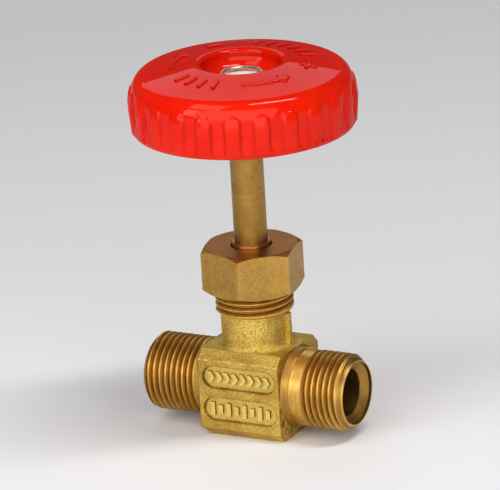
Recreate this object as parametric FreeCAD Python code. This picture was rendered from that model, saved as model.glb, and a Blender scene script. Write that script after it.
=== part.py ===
import FreeCAD, Part
import math
import os

# Needle valve with two male G 3/8 ports, a gland-packed rising spindle and a ribbed handwheel.
# Millimetres. X runs along the port axis, Z up the spindle, Z = 0 is the block's base.
# The valve is drawn shut: the needle rests in its seat.

VEC = FreeCAD.Vector
Z_AXIS = VEC(0, 0, 1)

# ---------------------------------------------------------------- driving dimensions

# forged block
BLOCK_HALF_X = 9.5
BLOCK_HALF_Y = 9.4
BLOCK_TOP = 18.8
BASE_CHAMFER = 1.8
TOP_CHAMFER = 1.9
BLOCK_ROUND = 0.5
LEFT_CORNER_CUT = 1.9
PORT_Z = 9.9

# pipe thread G 3/8: 19 threads per inch, 55 degree flanks
PIPE_R = 8.2
PIPE_PITCH = 25.4 / 19
PIPE_DEPTH = 0.640327 * PIPE_PITCH
PIPE_FLANK = math.radians(27.5)

CREST_TAPER = 0.02
PORT_GROOVE_START = 90
NECK_GROOVE_START = 200
PORT_ROOT = 8.0

# ports: a forged foot, a turned collar, the thread and a chamfered end
RIGHT_END = 23.05
LEFT_END = 23.8
END_FACE_R = 6.85
RIGHT_CHAMFER = 1.75
LEFT_CHAMFER = 1.2
COLLAR_R = 8.06
PORT_FOOT_R = 8.8
SHOULDER_R = 8.4
RIGHT_COLLAR_FROM = 10.9
RIGHT_THREAD_FROM = 13.9
LEFT_COLLAR_FROM = 9.9
LEFT_THREAD_FROM = 11.3
SOCKET_R = 6.55
SOCKET_STEP = 0.57
SOCKET_CONE_END = 2.05
PORT_BORE_R = 4.9
PORT_BORE_END = 12.4
DRILL_POINT = math.tan(math.radians(31))

# passages, seat and spindle bore
PASSAGE_R = 2.2
INLET_Z = 7.6
OUTLET_Z = 12.4
ORIFICE_R = 2.0
SEAT_Z = 10.2
SEAT_BEVEL = 0.25
CHAMBER_R = 4.4
CHAMBER_TOP = 15.8
GUIDE_R = 4.05

# neck, with the trimmed ridge of the forging's parting line
NECK_R = 7.25
NECK_FILLET = 1.6
RIDGE_R = 8.2
RIDGE_WIDTH = 1.2
NECK_THREAD_FROM = 26.5
NECK_TOP = 36.0
NECK_LEAD = 0.9
STUFFING_R = 5.6
STUFFING_FLOOR = 28.0

# recessed panels on the front face
PANEL_DEPTH = 0.6
PANEL_LENGTH = 17.0
PANEL_X = 0.2
UPPER_PANEL = (10.8, 15.65)
LOWER_PANEL = (3.7, 8.8)
MARK_RAISE = 0.5
MARK_COUNT = 8
MARK_STEP = 1.85
CHEVRON_HALF = 1.2
CHEVRON_REACH = 0.8
CHEVRON_THICK = 0.9
BAR_HALF_WIDTH = 0.48
BAR_HALVES = (1.45, 0.9)

# gland nut
NUT_AF = 19.0
NUT_FROM = 30.8
NUT_TO = 40.3
NUT_TURN = 41.5
NUT_BORE_R = 8.25
NUT_CEILING = 38.2
NUT_HOLE_R = 4.3
NUT_LEAD = 0.6
NUT_HOLE_CHAMFER = 0.15
NUT_FACE_R = 9.65
CHAMFER_SLOPE = math.tan(math.radians(30))

# spindle and its thread, M8 x 1.25
SPINDLE_R = 3.5
SPINDLE_BORE_R = 3.55
STEM_THREAD_R = 4.0
STEM_PITCH = 1.25
STEM_DEPTH = 0.613 * STEM_PITCH
STEM_FLANK = math.radians(30)
TURNS = 5
LIFT = TURNS * STEM_PITCH
STOP_GAP = 0.05
STEM_FOOT = 14.4
STEM_THREAD_FROM = 15.3
SHOULDER_Z = STUFFING_FLOOR - LIFT - STOP_GAP
SQUARE_FROM = 69.0
SQUARE_TOP = 75.8
SQUARE_AF = 5.0
SQUARE_HOLE_AF = 5.06
STEM_CHAMFER = 0.3

# swivel needle and its two retaining pins
NEEDLE_R = 2.8
NEEDLE_TIP_R = 0.4
NEEDLE_SLOPE = math.tan(math.radians(25))
NEEDLE_STUB_R = 1.5
NEEDLE_GROOVE_R = 0.8
NEEDLE_TOP = 18.0
STEM_SOCKET_R = 1.55
STEM_SOCKET_TOP = 18.1
PIN_Z = 16.5
PIN_R = 0.5
PIN_X = 1.35
PIN_HALF = 2.6
PLAY = 0.05
SEAT_GAP = 0.01

# packing, from the stuffing box floor upwards
PACKING_IN_R = 3.53
PACKING_OUT_R = 5.58
BASE_WASHER = 1.0
ADAPTER_EDGE = 0.5
CHEVRON_RISE = 0.8
RING_STEP = 0.8
FOLLOWER_FOOT = 33.4

# gland follower, its wiper ring and the slip washer over it
FOLLOWER_R = 5.54
FOLLOWER_FLANGE_R = 6.9
FOLLOWER_FLANGE = (36.6, 37.7)
FOLLOWER_NECK_R = 4.05
FOLLOWER_TOP = 41.1
FOLLOWER_LIP = 0.15
WIPER_GROOVE = (35.0, 36.3)
WIPER_GROOVE_R = 4.75
WIPER_SECTION_R = 0.58
SLIP_WASHER_R = 7.6

# handwheel
WHEEL_BOTTOM = 66.2
RIB_COUNT = 24
RIB_TOP_R = 24.05
RIB_FOOT_R = 23.6
RIB_WIDTH = 3.4
RIB_CORNER = 1.3
RIB_FROM = 66.9
RIB_FULL = 74.2
RIB_END = 75.5
SKIRT_TOP_R = 23.3
SKIRT_WAIST = (23.1, 70.5)
RIM_R = 23.5
RIM_TOP = 67.2
CROWN_CENTRE_R = 20.28
CROWN_CENTRE_Z = 74.0
CROWN_RISE = 4.44
DOME_MID = (18.0, 78.9)
DOME_INNER = (9.6, 80.38)
RECESS_LIP_R = 8.6
RECESS_LIP_Z = 80.4
RECESS_BEND = (7.35, 77.15)
RECESS_FLOOR_R = 5.2
RECESS_FLOOR = 76.1
HUB_R = 6.5
HUB_BOTTOM = 68.2
CAVITY_R = 21.0
CAVITY_WALL_TOP = 73.6
CAVITY_ROUND = ((20.2, 75.4), (18.2, 76.4))
CAVITY_ROOF = (11.4, 77.5)
MARK_CIRCLE_R = 14.4
MARK_LOW = 78.1
MARK_HIGH = 84.1
MARK_BAR_HALF = 0.5
MARK_REACH = 1.8
ARROW_SWEEP = 44
ARROW_HALF = 0.7
ARROW_HEAD_TURN = 13
TOP_MARK_RAISE = 0.35

# handwheel screw (M4, raised countersunk), cup washer and conical spring washer
SCREW_R = 2.0
SCREW_HOLE_R = 2.05
SCREW_HEAD_R = 3.5
SCREW_HEAD_TOP = 78.2
SCREW_HEAD_EDGE = 77.7
SCREW_TIP = 68.4
TAP_BOTTOM = 66.8
CUP_R = 4.6
CUP_FROM = 76.7
CUP_TOP = 77.9
CUP_SINK_R = 3.95
CUP_SLOPE = 0.8
SPRING_HOLE_R = 2.7
SPRING_R = 4.4
SPRING_SECTION = 0.3
SLOT_HALF = 0.35
SLOT_DEPTH = 0.8
SLOT_TURN = 29


# ---------------------------------------------------------------- helpers

def outline(start, *steps):
    """Closed face in the r-z plane. A step is an end point, or a pair (middle, end) for an arc."""
    edges = []
    here = VEC(start[0], 0, start[1])
    first = here
    for step in steps:
        if isinstance(step[0], tuple):
            middle = VEC(step[0][0], 0, step[0][1])
            end = VEC(step[1][0], 0, step[1][1])
            edges.append(Part.Arc(here, middle, end).toShape())
        else:
            end = VEC(step[0], 0, step[1])
            edges.append(Part.makeLine(here, end))
        here = end
    if (here - first).Length > 1e-7:
        edges.append(Part.makeLine(here, first))
    return Part.Face(Part.Wire(edges))


def turned(start, *steps):
    """Solid of revolution about Z from an outline of (radius, height) points."""
    return outline(start, *steps).revolve(VEC(0, 0, 0), Z_AXIS, 360)


def cylinder(radius, low, high):
    return Part.makeCylinder(radius, high - low, VEC(0, 0, low))


def box(low, high):
    size = [b - a for a, b in zip(low, high)]
    return Part.makeBox(size[0], size[1], size[2], VEC(*low))


def along_x(shape, sign):
    """Lay a solid drawn along Z at the port axis, pointing to +X or -X."""
    laid = shape.copy()
    laid.rotate(VEC(0, 0, 0), VEC(0, 1, 0), 90 * sign)
    laid.translate(VEC(0, 0, PORT_Z))
    return laid


def spun(shape, degrees):
    copy = shape.copy()
    copy.rotate(VEC(0, 0, 0), Z_AXIS, degrees)
    return copy


def helical_groove(crest_r, depth, flank, pitch, low, high):
    """Right-hand thread groove about Z, standing a little proud of the crests so that it cuts cleanly."""
    slant = depth * math.tan(flank)
    flat = (pitch - 2 * slant) / 2
    proud = 0.1
    root = flat / 2
    mouth = root + slant + proud * math.tan(flank)
    inner = crest_r - depth
    outer = crest_r + proud
    points = [VEC(inner, 0, -root), VEC(outer, 0, -mouth), VEC(outer, 0, mouth), VEC(inner, 0, root)]
    helix = Part.Wire(Part.makeHelix(pitch, high - low, inner).Edges)
    sweep = helix.makePipeShell([Part.makePolygon(points + [points[0]])], True, True)
    sweep.translate(VEC(0, 0, low))
    return sweep


def pipe_groove(low, high):
    return helical_groove(PIPE_R, PIPE_DEPTH, PIPE_FLANK, PIPE_PITCH, low, high)


def stadium(length, low, high, depth_from, depth_to):
    """Rounded slot plate in the X-Z plane, thick along Y."""
    radius = (high - low) / 2
    middle = (high + low) / 2
    reach = length / 2 - radius
    thick = depth_to - depth_from
    plate = box((PANEL_X - reach, depth_from, low), (PANEL_X + reach, depth_to, high))
    for x in (PANEL_X - reach, PANEL_X + reach):
        end = Part.makeCylinder(radius, thick, VEC(x, depth_from, middle), VEC(0, 1, 0))
        plate = plate.fuse(end)
    return plate.removeSplitter()


def hexagon(across_flats, low, high, turn):
    corner = across_flats / math.sqrt(3)
    points = []
    for k in range(7):
        angle = math.radians(turn + 60 * k)
        points.append(VEC(corner * math.cos(angle), corner * math.sin(angle), low))
    return Part.Face(Part.makePolygon(points)).extrude(VEC(0, 0, high - low))


# ---------------------------------------------------------------- valve body

def port(end, chamfer, collar_from, thread_from):
    """Male port drawn along Z from inside the block to its chamfered end."""
    blank = turned(
        (0, PORT_ROOT),
        (PORT_FOOT_R, PORT_ROOT),
        (PORT_FOOT_R, BLOCK_HALF_X),
        (SHOULDER_R, collar_from),
        (COLLAR_R, collar_from),
        (COLLAR_R, thread_from - 0.15),
        (PIPE_R, thread_from),
        (PIPE_R - CREST_TAPER, end - chamfer),
        (END_FACE_R, end),
        (0, end),
    )
    groove = pipe_groove(thread_from, end + PIPE_PITCH)
    return blank.cut(spun(groove, PORT_GROOVE_START))


def port_socket(end):
    """Stepped, coned mouth and drilled bore of a port, drawn along Z."""
    tip = PORT_BORE_R * DRILL_POINT
    return turned(
        (0, end + 1),
        (SOCKET_R, end + 1),
        (SOCKET_R, end - SOCKET_STEP),
        (PORT_BORE_R, end - SOCKET_CONE_END),
        (PORT_BORE_R, PORT_BORE_END),
        (0, PORT_BORE_END - tip),
    )


def block():
    y = BLOCK_HALF_Y
    outline_points = [
        (-y + BASE_CHAMFER, 0), (y - BASE_CHAMFER, 0), (y, BASE_CHAMFER),
        (y, BLOCK_TOP - TOP_CHAMFER), (y - TOP_CHAMFER, BLOCK_TOP),
        (-y + TOP_CHAMFER, BLOCK_TOP), (-y, BLOCK_TOP - TOP_CHAMFER), (-y, BASE_CHAMFER),
    ]
    points = [VEC(-BLOCK_HALF_X, a, b) for a, b in outline_points]
    face = Part.Face(Part.makePolygon(points + [points[0]]))
    prism = face.extrude(VEC(2 * BLOCK_HALF_X, 0, 0))
    left_corner = VEC(-BLOCK_HALF_X, 0, 0)
    corner = [edge for edge in prism.Edges if (edge.CenterOfMass - left_corner).Length < 0.01]
    prism = prism.makeChamfer(LEFT_CORNER_CUT, corner)
    soft_edges = [edge for edge in prism.Edges if edge.CenterOfMass.z < BLOCK_TOP - 0.01]
    return prism.makeFillet(BLOCK_ROUND, soft_edges)


def neck_blank():
    """Forged neck below the thread, from inside the block."""
    return cylinder(NECK_R, BLOCK_TOP - 6, NECK_THREAD_FROM + 1)


def neck_thread():
    low = NECK_THREAD_FROM
    blank = turned(
        (0, low - 0.5),
        (NECK_R, low - 0.5),
        (PIPE_R - 0.3, low - 0.1),
        (PIPE_R, low + 0.1),
        (PIPE_R - CREST_TAPER, NECK_TOP - NECK_LEAD),
        (PIPE_R - NECK_LEAD, NECK_TOP),
        (0, NECK_TOP),
    )
    groove = pipe_groove(low + PIPE_PITCH / 2, NECK_TOP + PIPE_PITCH)
    return blank.cut(spun(groove, NECK_GROOVE_START))


def chevron(x, middle, front, back):
    """Flow chevron pointing to +X."""
    tip = x + CHEVRON_REACH
    corners = [
        VEC(x - CHEVRON_THICK, front, middle - CHEVRON_HALF), VEC(x, front, middle - CHEVRON_HALF),
        VEC(tip, front, middle), VEC(x, front, middle + CHEVRON_HALF),
        VEC(x - CHEVRON_THICK, front, middle + CHEVRON_HALF), VEC(tip - CHEVRON_THICK, front, middle),
    ]
    return Part.Face(Part.makePolygon(corners + [corners[0]])).extrude(VEC(0, back - front, 0))


def panel_marks():
    """Plain raised marks: flow chevrons in the upper panel and long and short bars in the lower one."""
    back = -BLOCK_HALF_Y + PANEL_DEPTH + 0.2
    front = -BLOCK_HALF_Y + PANEL_DEPTH - MARK_RAISE
    marks = []
    for k in range(MARK_COUNT):
        x = PANEL_X + MARK_STEP * (k - (MARK_COUNT - 1) / 2)
        marks.append(chevron(x, sum(UPPER_PANEL) / 2, front, back))
        middle = sum(LOWER_PANEL) / 2
        half = BAR_HALVES[k % 2]
        corner = (x - BAR_HALF_WIDTH, front, middle - half)
        marks.append(box(corner, (x + BAR_HALF_WIDTH, back, middle + half)))
    return marks


def valve_body():
    solid = block().fuse(neck_blank()).removeSplitter()
    rim = [
        edge for edge in solid.Edges
        if all(abs(math.hypot(v.X, v.Y) - NECK_R) < 1e-3 for v in edge.Vertexes)
        and BLOCK_TOP - TOP_CHAMFER - 0.5 < edge.CenterOfMass.z < BLOCK_TOP + 0.1
        and edge.BoundBox.ZLength < 3
    ]
    solid = solid.makeFillet(NECK_FILLET, rim)
    half = RIDGE_WIDTH / 2
    ridge = box((NECK_R - 1, -half, BLOCK_TOP - 1), (RIDGE_R, half, NECK_THREAD_FROM - 0.6))
    solid = solid.fuse(ridge).fuse(neck_thread())
    right = port(RIGHT_END, RIGHT_CHAMFER, RIGHT_COLLAR_FROM, RIGHT_THREAD_FROM)
    left = port(LEFT_END, LEFT_CHAMFER, LEFT_COLLAR_FROM, LEFT_THREAD_FROM)
    solid = solid.fuse(along_x(right, 1)).fuse(along_x(left, -1))
    for low, high in (UPPER_PANEL, LOWER_PANEL):
        solid = solid.cut(stadium(PANEL_LENGTH, low, high, -BLOCK_HALF_Y - 1, -BLOCK_HALF_Y + PANEL_DEPTH))
    for mark in panel_marks():
        solid = solid.fuse(mark)
    solid = solid.cut(along_x(port_socket(RIGHT_END), 1))
    solid = solid.cut(along_x(port_socket(LEFT_END), -1))
    reach = PORT_BORE_END + PASSAGE_R
    inlet = Part.makeCylinder(PASSAGE_R, reach, VEC(-PORT_BORE_END, 0, INLET_Z), VEC(1, 0, 0))
    outlet = Part.makeCylinder(PASSAGE_R, PORT_BORE_END, VEC(0, 0, OUTLET_Z), VEC(1, 0, 0))
    solid = solid.cut(inlet)
    solid = solid.cut(outlet.cut(cylinder(CHAMBER_R - 0.5, 0, BLOCK_TOP)))
    bore = turned(
        (0, INLET_Z),
        (ORIFICE_R, INLET_Z),
        (ORIFICE_R, SEAT_Z - SEAT_BEVEL),
        (ORIFICE_R + SEAT_BEVEL, SEAT_Z),
        (CHAMBER_R, SEAT_Z),
        (CHAMBER_R, CHAMBER_TOP),
        (GUIDE_R, CHAMBER_TOP),
        (GUIDE_R, STUFFING_FLOOR),
        (STUFFING_R, STUFFING_FLOOR),
        (STUFFING_R, NECK_TOP - 0.4),
        (STUFFING_R + 0.4, NECK_TOP),
        (STUFFING_R + 0.4, NECK_TOP + 1),
        (0, NECK_TOP + 1),
    )
    return solid.cut(bore).removeSplitter()


# ---------------------------------------------------------------- moving stem

def needle():
    seat_r = ORIFICE_R - SEAT_GAP
    z_seat = SEAT_Z - SEAT_BEVEL
    z_tip = z_seat - (seat_r - NEEDLE_TIP_R) / NEEDLE_SLOPE
    z_cone = z_seat + (NEEDLE_R - seat_r) / NEEDLE_SLOPE
    return turned(
        (0, z_tip),
        (NEEDLE_TIP_R, z_tip),
        (NEEDLE_R, z_cone),
        (NEEDLE_R, STEM_FOOT - 0.25),
        (NEEDLE_R - 0.25, STEM_FOOT),
        (NEEDLE_STUB_R, STEM_FOOT),
        (NEEDLE_STUB_R, PIN_Z - PIN_R - PLAY),
        (NEEDLE_GROOVE_R, PIN_Z - PIN_R - PLAY),
        (NEEDLE_GROOVE_R, PIN_Z + PIN_R + PLAY),
        (NEEDLE_STUB_R, PIN_Z + PIN_R + PLAY),
        (NEEDLE_STUB_R, NEEDLE_TOP - 0.3),
        (NEEDLE_STUB_R - 0.3, NEEDLE_TOP),
        (0, NEEDLE_TOP),
    )


def pin_shapes(half_length):
    return [
        Part.makeCylinder(PIN_R, 2 * half_length, VEC(x, -half_length, PIN_Z), VEC(0, 1, 0))
        for x in (-PIN_X, PIN_X)
    ]


def spindle():
    low_r = STEM_THREAD_R - STEM_DEPTH
    steps = [(low_r - 0.25, STEM_FOOT), (low_r, STEM_FOOT + 0.25), (low_r, STEM_THREAD_FROM - 0.3)]
    steps += [(STEM_THREAD_R, STEM_THREAD_FROM + 0.4), (STEM_THREAD_R, SHOULDER_Z - 0.5)]
    steps += [(SPINDLE_R, SHOULDER_Z), (SPINDLE_R, SQUARE_TOP - STEM_CHAMFER)]
    steps += [(SPINDLE_R - STEM_CHAMFER, SQUARE_TOP), (0, SQUARE_TOP)]
    solid = turned((0, STEM_FOOT), *steps)
    half = SQUARE_AF / 2
    collar = cylinder(SPINDLE_R + 1, SQUARE_FROM, SQUARE_TOP + 1)
    square = box((-half, -half, SQUARE_FROM - 1), (half, half, SQUARE_TOP + 2))
    solid = solid.cut(collar.cut(square))
    tapped = turned(
        (0, SQUARE_TOP + 1), (SCREW_HOLE_R, SQUARE_TOP + 1),
        (SCREW_HOLE_R, TAP_BOTTOM), (0, TAP_BOTTOM - SCREW_HOLE_R * DRILL_POINT),
    )
    socket = turned(
        (0, STEM_FOOT - 1), (STEM_SOCKET_R, STEM_FOOT - 1),
        (STEM_SOCKET_R, STEM_SOCKET_TOP), (0, STEM_SOCKET_TOP + STEM_SOCKET_R * DRILL_POINT),
    )
    solid = solid.cut(tapped).cut(socket)
    groove = helical_groove(STEM_THREAD_R, STEM_DEPTH, STEM_FLANK, STEM_PITCH,
                            STEM_THREAD_FROM - 2 * STEM_PITCH, SHOULDER_Z - 1.0)
    solid = solid.cut(groove)
    for hole in pin_shapes(STEM_THREAD_R + 1):
        solid = solid.cut(hole)
    return solid


# ---------------------------------------------------------------- packing and gland

def packing_base_washer():
    return cylinder(PACKING_OUT_R, STUFFING_FLOOR, STUFFING_FLOOR + BASE_WASHER).cut(
        cylinder(SPINDLE_BORE_R, STUFFING_FLOOR - 1, STUFFING_FLOOR + 2)
    )


def packing_rings():
    """Male adapter, three chevron rings and female adapter, as a list of (name, solid)."""
    middle = (PACKING_IN_R + PACKING_OUT_R) / 2
    floor = STUFFING_FLOOR + BASE_WASHER
    edge = floor + ADAPTER_EDGE
    rings = [(
        "packing_bottom_adapter",
        turned((PACKING_IN_R, floor), (PACKING_OUT_R, floor), (PACKING_OUT_R, edge),
               (middle, edge + CHEVRON_RISE), (PACKING_IN_R, edge)),
    )]
    for k in range(3):
        low = edge + k * RING_STEP
        high = low + RING_STEP
        ring = turned((PACKING_IN_R, low), (middle, low + CHEVRON_RISE), (PACKING_OUT_R, low),
                      (PACKING_OUT_R, high), (middle, high + CHEVRON_RISE), (PACKING_IN_R, high))
        rings.append(("packing_v_ring_%d" % (k + 1), ring))
    last = edge + 3 * RING_STEP
    rings.append((
        "packing_top_adapter",
        turned((PACKING_IN_R, last), (middle, last + CHEVRON_RISE), (PACKING_OUT_R, last),
               (PACKING_OUT_R, FOLLOWER_FOOT), (PACKING_IN_R, FOLLOWER_FOOT)),
    ))
    return rings


def gland_follower():
    low, high = FOLLOWER_FLANGE
    groove_low, groove_high = WIPER_GROOVE
    return turned(
        (SPINDLE_BORE_R, FOLLOWER_FOOT),
        (FOLLOWER_R, FOLLOWER_FOOT),
        (FOLLOWER_R, low),
        (FOLLOWER_FLANGE_R, low),
        (FOLLOWER_FLANGE_R, high),
        (FOLLOWER_NECK_R, high),
        (FOLLOWER_NECK_R, FOLLOWER_TOP - FOLLOWER_LIP),
        (FOLLOWER_NECK_R - FOLLOWER_LIP, FOLLOWER_TOP),
        (SPINDLE_BORE_R, FOLLOWER_TOP),
        (SPINDLE_BORE_R, groove_high),
        (WIPER_GROOVE_R, groove_high),
        (WIPER_GROOVE_R, groove_low),
        (SPINDLE_BORE_R, groove_low),
    )


def wiper_o_ring():
    ring_r = SPINDLE_R + WIPER_SECTION_R + 0.02
    return Part.makeTorus(ring_r, WIPER_SECTION_R, VEC(0, 0, sum(WIPER_GROOVE) / 2))


def gland_slip_washer():
    return cylinder(SLIP_WASHER_R, FOLLOWER_FLANGE[1], NUT_CEILING).cut(
        cylinder(FOLLOWER_NECK_R + 0.1, FOLLOWER_FLANGE[1] - 1, NUT_CEILING + 1)
    )


def gland_nut():
    corner = NUT_AF / math.sqrt(3)
    drop = (corner + 1 - NUT_FACE_R) * CHAMFER_SLOPE
    barrel = turned(
        (0, NUT_FROM), (NUT_FACE_R, NUT_FROM), (corner + 1, NUT_FROM + drop),
        (corner + 1, NUT_TO - drop), (NUT_FACE_R, NUT_TO), (0, NUT_TO),
    )
    solid = hexagon(NUT_AF, NUT_FROM, NUT_TO, NUT_TURN).common(barrel)
    bore = turned(
        (0, NUT_FROM - 1), (NUT_BORE_R + NUT_LEAD, NUT_FROM - 1), (NUT_BORE_R + NUT_LEAD, NUT_FROM),
        (NUT_BORE_R, NUT_FROM + NUT_LEAD), (NUT_BORE_R, NUT_CEILING), (NUT_HOLE_R, NUT_CEILING),
        (NUT_HOLE_R, NUT_TO - NUT_HOLE_CHAMFER), (NUT_HOLE_R + NUT_HOLE_CHAMFER, NUT_TO),
        (NUT_HOLE_R + NUT_HOLE_CHAMFER, NUT_TO + 1), (0, NUT_TO + 1),
    )
    return solid.cut(bore)


# ---------------------------------------------------------------- handwheel and its fixing

def crown_point(degrees):
    angle = math.radians(degrees)
    r = CROWN_CENTRE_R + (SKIRT_TOP_R - CROWN_CENTRE_R) * math.cos(angle)
    return (r, CROWN_CENTRE_Z + CROWN_RISE * math.sin(angle))


def handwheel_rib():
    """Raised grip pad at angle zero, with a rounded upper end."""
    ring = outline(
        (SKIRT_TOP_R - 1.5, RIB_FROM), (RIB_FOOT_R, RIB_FROM), (RIB_TOP_R, RIB_FULL - 3),
        ((RIB_TOP_R - 0.12, RIB_FULL), (SKIRT_TOP_R - 0.4, RIB_END)), (SKIRT_TOP_R - 1.5, RIB_END),
    ).revolve(VEC(0, 0, 0), Z_AXIS, 20)
    ring = spun(ring, -10)
    half = RIB_WIDTH / 2
    inner = half - RIB_CORNER
    edge = RIB_END - RIB_CORNER
    reach = RIB_TOP_R + 2
    pad = box((15, -half, RIB_FROM - 1), (reach, half, edge))
    pad = pad.fuse(box((15, -inner, RIB_FROM - 1), (reach, inner, RIB_END)))
    for y in (-inner, inner):
        pad = pad.fuse(Part.makeCylinder(RIB_CORNER, reach - 15, VEC(15, y, edge), VEC(1, 0, 0)))
    return ring.common(pad)


def arc_block(start, sweep):
    """Upright arc-shaped block on the mark circle, from a start angle round by a sweep."""
    inner = MARK_CIRCLE_R - ARROW_HALF
    outer = MARK_CIRCLE_R + ARROW_HALF
    face = outline((inner, MARK_LOW), (outer, MARK_LOW), (outer, MARK_HIGH), (inner, MARK_HIGH))
    return spun(face.revolve(VEC(0, 0, 0), Z_AXIS, sweep), start)


def arrow_head(angle, way):
    points = []
    for reach, turn in ((-MARK_REACH, 0), (MARK_REACH, 0), (0, ARROW_HEAD_TURN * way)):
        a = math.radians(angle + turn)
        r = MARK_CIRCLE_R + reach
        points.append(VEC(r * math.cos(a), r * math.sin(a), MARK_LOW))
    return Part.Face(Part.makePolygon(points + [points[0]])).extrude(VEC(0, 0, MARK_HIGH - MARK_LOW))


def bar_block(angle, half_radial, half_across):
    low = (MARK_CIRCLE_R - half_radial, -half_across, MARK_LOW)
    high = (MARK_CIRCLE_R + half_radial, half_across, MARK_HIGH)
    return spun(box(low, high), angle)


def wheel_marks():
    """Two turning arrows, a plus and a minus, and short index bars, standing off the dome."""
    marks = []
    for start, way in ((-62, 1), (168, -1)):
        marks.append(arc_block(start, ARROW_SWEEP))
        marks.append(arrow_head(start + ARROW_SWEEP if way > 0 else start, way))
    marks.append(bar_block(14, MARK_BAR_HALF, MARK_REACH))
    marks.append(bar_block(14, MARK_REACH, MARK_BAR_HALF))
    marks.append(bar_block(140, MARK_BAR_HALF, MARK_REACH))
    for angle in (-84, -96, -108, -120, 44, 56, 68, 80, 92, 104):
        marks.append(bar_block(angle, MARK_REACH, MARK_BAR_HALF))
    return marks


def handwheel():
    foot = [(22.2, WHEEL_BOTTOM), ((23.1, WHEEL_BOTTOM + 0.3), (RIM_R, WHEEL_BOTTOM + 0.9))]
    skirt = [(RIM_R, RIM_TOP), SKIRT_WAIST, (SKIRT_TOP_R, CROWN_CENTRE_Z)]
    crown = [(crown_point(22), crown_point(45)), (crown_point(67), crown_point(87))]
    dome = [(DOME_MID, DOME_INNER)]
    lip = [((RECESS_LIP_R + 0.35, RECESS_LIP_Z - 0.22), (RECESS_LIP_R - 0.5, RECESS_LIP_Z - 1.1))]
    bowl = [(RECESS_BEND, (RECESS_FLOOR_R, RECESS_FLOOR)), (0, RECESS_FLOOR)]
    solid = turned((0, WHEEL_BOTTOM), *foot, *skirt, *crown, *dome, *lip, *bowl)
    rib = handwheel_rib()
    for k in range(RIB_COUNT):
        solid = solid.fuse(spun(rib, 360 / RIB_COUNT * (k + 0.5)))

    cavity = turned(
        (0, WHEEL_BOTTOM - 1), (CAVITY_R, WHEEL_BOTTOM - 1), (CAVITY_R - 0.2, CAVITY_WALL_TOP), CAVITY_ROUND,
        CAVITY_ROOF, (HUB_R + 0.6, CAVITY_WALL_TOP), (HUB_R, CAVITY_WALL_TOP - 1), (HUB_R, HUB_BOTTOM),
        (0, HUB_BOTTOM),
    )
    solid = solid.cut(cavity)

    half_hole = SQUARE_HOLE_AF / 2
    square = box((-half_hole, -half_hole, SQUARE_FROM), (half_hole, half_hole, RECESS_FLOOR + 1))
    square = square.common(cylinder(SPINDLE_BORE_R, SQUARE_FROM, RECESS_FLOOR + 1))
    solid = solid.cut(square)
    solid = solid.cut(cylinder(SPINDLE_BORE_R, HUB_BOTTOM - 1, SQUARE_FROM))

    dome_mid_r, dome_mid_z = DOME_MID
    dome_in_r, dome_in_z = DOME_INNER
    shell = turned(
        (dome_in_r + 0.2, RECESS_FLOOR + 1), (CROWN_CENTRE_R, RECESS_FLOOR + 1),
        (CROWN_CENTRE_R, dome_mid_z - 0.5 + TOP_MARK_RAISE),
        ((dome_mid_r, dome_mid_z + TOP_MARK_RAISE), (dome_in_r + 0.2, dome_in_z + TOP_MARK_RAISE - 0.05)),
    )
    for mark in wheel_marks():
        solid = solid.fuse(mark.common(shell).cut(cavity))
    return solid.removeSplitter()


def spring_washer():
    """Conical spring washer under the cup washer, bearing on the recess floor at its rim."""
    return turned(
        (SPRING_HOLE_R, CUP_FROM - SPRING_SECTION),
        (SPRING_R - 0.4, RECESS_FLOOR),
        (SPRING_R, RECESS_FLOOR),
        (SPRING_R, RECESS_FLOOR + SPRING_SECTION),
        (SPRING_HOLE_R + 0.4, CUP_FROM),
        (SPRING_HOLE_R, CUP_FROM),
    )


def cup_height(radius):
    """Height of the cup washer's countersink at a radius."""
    return CUP_TOP - (CUP_SINK_R - radius) * CUP_SLOPE


def cup_washer():
    hole = CUP_SINK_R - (CUP_TOP - CUP_FROM) / CUP_SLOPE
    return turned(
        (hole, CUP_FROM), (CUP_R, CUP_FROM), (CUP_R, CUP_TOP - 0.25), (CUP_R - 0.25, CUP_TOP),
        (CUP_SINK_R, CUP_TOP),
    )


def handwheel_screw():
    head_foot = cup_height(SCREW_HEAD_R) + SEAT_GAP
    under = cup_height(SCREW_R) + SEAT_GAP
    raised = SCREW_HEAD_TOP - SCREW_HEAD_EDGE
    solid = turned(
        (0, SCREW_TIP),
        (SCREW_R - 0.4, SCREW_TIP),
        (SCREW_R, SCREW_TIP + 0.4),
        (SCREW_R, under),
        (SCREW_HEAD_R, head_foot),
        (SCREW_HEAD_R, SCREW_HEAD_EDGE),
        ((SCREW_HEAD_R * 0.55, SCREW_HEAD_EDGE + raised * 0.72), (0, SCREW_HEAD_TOP)),
    )
    floor = SCREW_HEAD_TOP - SLOT_DEPTH
    reach = SCREW_HEAD_R + 1
    slot = box((-reach, -SLOT_HALF, floor), (reach, SLOT_HALF, SCREW_HEAD_TOP + 1))
    return solid.cut(spun(slot, SLOT_TURN))


# ---------------------------------------------------------------- export

PIECES = [
    ("valve_body", valve_body()),
    ("needle", needle()),
    ("needle_retaining_pins", Part.makeCompound(pin_shapes(PIN_HALF))),
    ("spindle", spindle()),
    ("packing_base_washer", packing_base_washer()),
    ("gland_follower", gland_follower()),
    ("wiper_o_ring", wiper_o_ring()),
    ("gland_slip_washer", gland_slip_washer()),
    ("gland_nut", gland_nut()),
    ("handwheel", handwheel()),
    ("spring_washer", spring_washer()),
    ("cup_washer", cup_washer()),
    ("handwheel_screw", handwheel_screw()),
]
PIECES += packing_rings()

os.makedirs("parts", exist_ok=True)
for name, shape in PIECES:
    shape.exportStep("parts/" + name + ".step")
    print(name, shape.isValid(), len(shape.Solids), round(shape.Volume, 2))
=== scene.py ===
"""Needle valve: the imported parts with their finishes, and a smoother wheel with raised marks."""

import math

import bpy
import numpy as np
from mathutils import Matrix, Vector


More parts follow.
